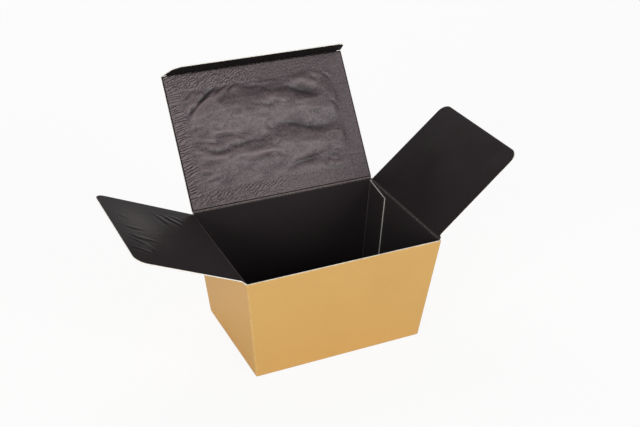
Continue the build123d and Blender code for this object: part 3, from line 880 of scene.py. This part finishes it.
# The carton's inside uses the copy of the black board that is painted lighter
carton = board_piece("carton_board", [carton_walls(), *base_flaps(), glue_flap()], PAINTED_LIGHTER_INSIDE_BLACK)
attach(carton, "carton")
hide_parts("carton_body")

lid = lid_board()
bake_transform(lid)
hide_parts("lid_panel")

tuck = tuck_board()
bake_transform(tuck)
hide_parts("tuck_flap")

# The left flap also carries a patch of painted sheen
left_flap = dust_flap_board("left_flap_board", -1, LEFT_ANGLE, LEFT_FLAP_LENGTH, LEFT_FLAP_RUB, rows=110,
                            columns=150, wrinkles=LEFT_FLAP_WRINKLES, painted_sheen=LEFT_FLAP_PAINTED_SHEEN)
right_flap = dust_flap_board("right_flap_board", 1, RIGHT_ANGLE, RIGHT_FLAP_LENGTH, RIGHT_FLAP_RUB)
for flap, body, node, crease_line in (
    (left_flap, "left_flap", "left_dust_flap", side_crease(-1, LEFT_ANGLE)),
    (right_flap, "right_flap", "right_dust_flap", side_crease(1, RIGHT_ANGLE)),
):
    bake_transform(flap)
    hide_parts(node)

pad = cushion_pad()
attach(pad, "lid")
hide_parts("cushion_pad")


# Floor, light and camera, in metres

FLOOR_DROP = 0.0002
FLOOR_WHITE = 0.9


def pale_floor():
    """Plain pale floor: rings of faces round the box, a hair below its base, seen from above only."""
    turn = np.linspace(0, 2 * np.pi, 97)[:-1]
    radii = np.array([0.02, 0.3, 1.0, 3.0, 9.0])
    ring = radii[:, None, None] * np.stack([np.cos(turn), np.sin(turn)], -1)[None]
    points = np.concatenate([ring, np.full((*ring.shape[:2], 1), -FLOOR_DROP)], -1).reshape(-1, 3)
    index = np.arange(len(points)).reshape(len(radii), -1)
    bands = [loop_faces(outer, inner)[:, ::-1] for inner, outer in zip(index[:-1], index[1:])]
    faces = np.concatenate(bands)
    mesh = bpy.data.meshes.new("floor")
    mesh.from_pydata(points.tolist(), [], faces.tolist() + [index[0].tolist()])
    floor = bpy.data.objects.new("floor", mesh)
    bpy.context.scene.collection.objects.link(floor)
    material, tree, shader, _ = new_finish("pale_floor")
    shader.inputs["Base Color"].default_value = (0.93, 0.93, 0.93, 1)
    shader.inputs["Roughness"].default_value = 0.9
    shader.inputs["Specular IOR Level"].default_value = 0.1
    seen = tree.nodes.new("ShaderNodeLightPath").outputs["Is Camera Ray"]
    white = wire(tree, "ShaderNodeEmission", Color=(1, 1, 1, 1), Strength=1.0).outputs[0]
    share = product(tree, seen, FLOOR_WHITE)
    lit = wire(tree, "ShaderNodeMixShader", i0=share, i1=shader.outputs[0], i2=white).outputs[0]
    from_below = tree.nodes.new("ShaderNodeNewGeometry").outputs["Backfacing"]
    clear = tree.nodes.new("ShaderNodeBsdfTransparent").outputs[0]
    surface = wire(tree, "ShaderNodeMixShader", i0=from_below, i1=lit, i2=clear).outputs[0]
    tree.links.new(surface, tree.nodes["Material Output"].inputs["Surface"])
    mesh.materials.append(material)


def held_at(name, data, right, up, back, place):
    """Object that holds a lamp or a camera, turned by its three directions and set at its place."""
    holder = bpy.data.objects.new(name, data)
    rows = np.column_stack([right, up, back, place])
    holder.matrix_world = Matrix([*rows.tolist(), (0, 0, 0, 1)])
    bpy.context.scene.collection.objects.link(holder)
    return holder


def soft_light(name, place, target, size, watts):
    """Square soft lamp at a place, turned to the target."""
    lamp = bpy.data.lights.new(name, "AREA")
    lamp.shape = "SQUARE"
    lamp.size = size
    lamp.energy = watts
    back = unit(np.array(place) - np.array(target))
    right = unit(np.cross([0, 0, 1.0], back))
    held_at(name, lamp, right, np.cross(back, right), back, place)


def white_surroundings(level):
    """World that lights the box at a plain level and shows as white behind it."""
    world = bpy.data.worlds.new("surroundings")
    bpy.context.scene.world = world
    world.use_nodes = True
    tree = world.node_tree
    tree.nodes.clear()
    seen = tree.nodes.new("ShaderNodeLightPath").outputs["Is Camera Ray"]
    lit = wire(tree, "ShaderNodeBackground", Color=(1, 1, 1, 1), Strength=level).outputs[0]
    shown = wire(tree, "ShaderNodeBackground", Color=(1, 1, 1, 1), Strength=1.0).outputs[0]
    both = wire(tree, "ShaderNodeMixShader", i0=seen, i1=lit, i2=shown).outputs[0]
    wire(tree, "ShaderNodeOutputWorld", Surface=both)


def camera_at(place, azimuth, elevation, roll, lens):
    """Camera at a place that looks along an azimuth and elevation in degrees, turned by a small roll."""
    a, e, r = np.radians([azimuth, elevation, roll])
    back = np.array([np.sin(a) * np.cos(e), -np.cos(a) * np.cos(e), np.sin(e)])
    level = np.array([np.cos(a), np.sin(a), 0])
    upright = np.cross(back, level)
    right, up = np.cos(r) * level + np.sin(r) * upright, np.cos(r) * upright - np.sin(r) * level
    data = bpy.data.cameras.new("camera")
    data.lens = lens
    data.sensor_width = 36
    bpy.context.scene.camera = held_at("camera", data, right, up, back, place)


pale_floor()
white_surroundings(level=0.3)
soft_light("key", (0.75, -1.25, 0.5), target=(0, 0, 0.07), size=0.7, watts=9.1)
soft_light("fill", (-1.2, -0.9, 0.45), target=(0, 0, 0.05), size=0.8, watts=13.2)
soft_light("back", (0.15, 1.05, 1.1), target=(0, 0, 0.07), size=0.9, watts=7)
camera_at((-0.21804, -0.45378, 0.34101), azimuth=-25.975, elevation=28.372, roll=1.2076, lens=60.93)
bpy.context.scene.view_settings.view_transform = "Standard"
